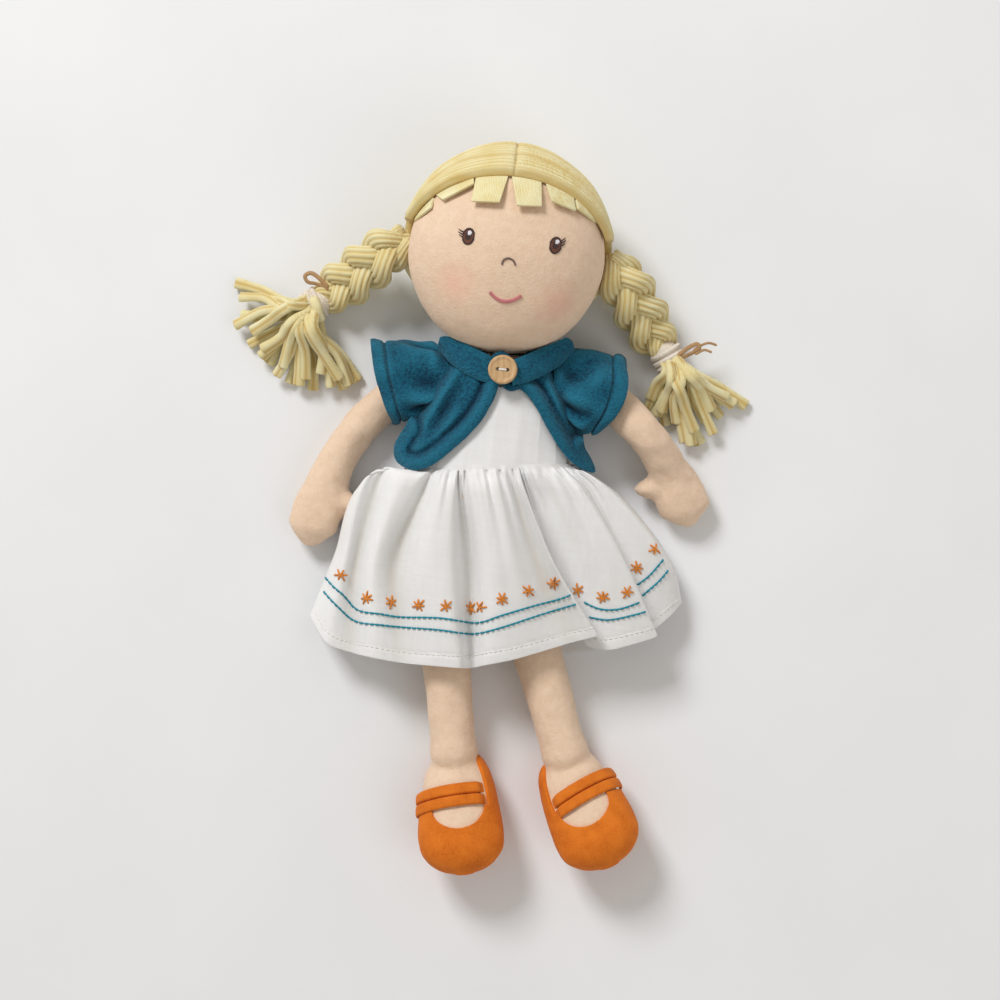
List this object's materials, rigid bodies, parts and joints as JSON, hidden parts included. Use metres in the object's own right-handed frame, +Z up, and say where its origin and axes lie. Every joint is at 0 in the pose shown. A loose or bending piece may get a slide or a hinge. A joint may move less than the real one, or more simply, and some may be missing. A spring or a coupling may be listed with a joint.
{
  "type": "soft doll",
  "caption": "Soft cloth doll lying on its back, with plaited hair, a gathered dress, a short jacket with a button, and strap shoes.",
  "frame": {"origin": "on the surface that the doll lies on, at the middle of the flat of the jacket's back", "axes": "+Y along the doll to the top of its head, +Z up out of its front, +X to the viewer's right"},
  "size_m": [0.2785, 0.3818, 0.0779],
  "materials": {
    "skin_velour": "short-pile velour",
    "hair_jersey": "ribbed cotton jersey",
    "teal_velour": "short-pile velour",
    "white_linen": "plain-weave linen",
    "shoe_suede": "suede cloth",
    "button_wood": "turned, waxed",
    "tie_ribbon": "cotton tape"
  },
  "bodies": {
    "torso": {"torso": "skin_velour", "dress_bodice": "white_linen", "dress_skirt": "white_linen", "jacket_back": "teal_velour", "collar_back": "teal_velour", "sleeve_left": "teal_velour", "sleeve_right": "teal_velour"},
    "neck": {"neck": "skin_velour"},
    "head": {"head": "skin_velour", "hair_left": "hair_jersey", "hair_right": "hair_jersey", "fringe": "hair_jersey"},
    "left_braid": {"braid_left_strand_1": "hair_jersey", "braid_left_strand_2": "hair_jersey", "braid_left_strand_3": "hair_jersey", "braid_left_tie": "tie_ribbon", "braid_left_tassel": "hair_jersey"},
    "right_braid": {"braid_right_strand_1": "hair_jersey", "braid_right_strand_2": "hair_jersey", "braid_right_strand_3": "hair_jersey", "braid_right_tie": "tie_ribbon", "braid_right_tassel": "hair_jersey"},
    "left_arm": {"arm_left": "skin_velour"},
    "right_arm": {"arm_right": "skin_velour"},
    "left_leg": {"leg_left": "skin_velour", "shoe_left_upper": "shoe_suede", "shoe_left_sole": "shoe_suede", "shoe_left_strap": "shoe_suede"},
    "right_leg": {"leg_right": "skin_velour", "shoe_right_upper": "shoe_suede", "shoe_right_sole": "shoe_suede", "shoe_right_strap": "shoe_suede"},
    "left_front": {"jacket_front_left": "teal_velour", "collar_left": "teal_velour", "closure_loop_pad": "tie_ribbon"},
    "right_front": {"jacket_front_right": "teal_velour", "collar_right": "teal_velour", "closure_hook_pad": "tie_ribbon", "button": "button_wood"}
  },
  "joints": [
    {"name": "head_turn", "type": "hinge", "parent": "torso", "child": "neck", "pos_m": [-0.0015, 0.046, 0.0238], "axis": [0, 1, 0], "range_deg": [-30, 30], "deforming": ["neck", "collar_left", "collar_right", "collar_back"]},
    {"name": "head_nod", "type": "hinge", "parent": "neck", "child": "head", "pos_m": [-0.0015, 0.053, 0.025], "axis": [1, 0, 0], "range_deg": [-6, 6]},
    {"name": "left_braid_swing", "type": "hinge", "parent": "head", "child": "left_braid", "pos_m": [-0.0594, 0.0974, 0.033], "axis": [0, 0, -1], "range_deg": [0, 40], "deforming": ["braid_left_tassel"]},
    {"name": "right_braid_swing", "type": "hinge", "parent": "head", "child": "right_braid", "pos_m": [0.0508, 0.0974, 0.033], "axis": [0, 0, 1], "range_deg": [0, 40], "deforming": ["braid_right_tassel"]},
    {"name": "left_arm_fold", "type": "hinge", "parent": "torso", "child": "left_arm", "pos_m": [-0.03603, 0.03073, 0.0238], "axis": [-0.5299, 0.848, 0], "range_deg": [-15, 60], "deforming": ["sleeve_left"]},
    {"name": "right_arm_fold", "type": "hinge", "parent": "torso", "child": "right_arm", "pos_m": [0.03619, 0.03902, 0.0238], "axis": [-0.4067, -0.9135, 0], "range_deg": [-15, 60], "deforming": ["sleeve_right"]},
    {"name": "left_leg_fold", "type": "hinge", "parent": "torso", "child": "left_leg", "pos_m": [-0.025, -0.057, 0.0238], "axis": [-1, 0, 0], "range_deg": [-15, 85], "deforming": ["dress_skirt"]},
    {"name": "right_leg_fold", "type": "hinge", "parent": "torso", "child": "right_leg", "pos_m": [0.013, -0.057, 0.0238], "axis": [-1, 0, 0], "range_deg": [-15, 85]},
    {"name": "right_front_open", "type": "hinge", "parent": "torso", "child": "right_front", "pos_m": [0.037, 0.023, 0.0328], "axis": [-0.2326, 0.9726, 0], "range_deg": [0, 80], "deforming": ["jacket_front_right"]},
    {"name": "left_front_open", "type": "hinge", "parent": "torso", "child": "left_front", "pos_m": [-0.037, 0.023, 0.0328], "axis": [-0.2326, -0.9726, 0], "range_deg": [0, 80], "deforming": ["jacket_front_left"]}
  ],
  "couplings": [
    {"joint": "left_front_open", "follows": "right_front_open", "ratio": 0.7}
  ]
}
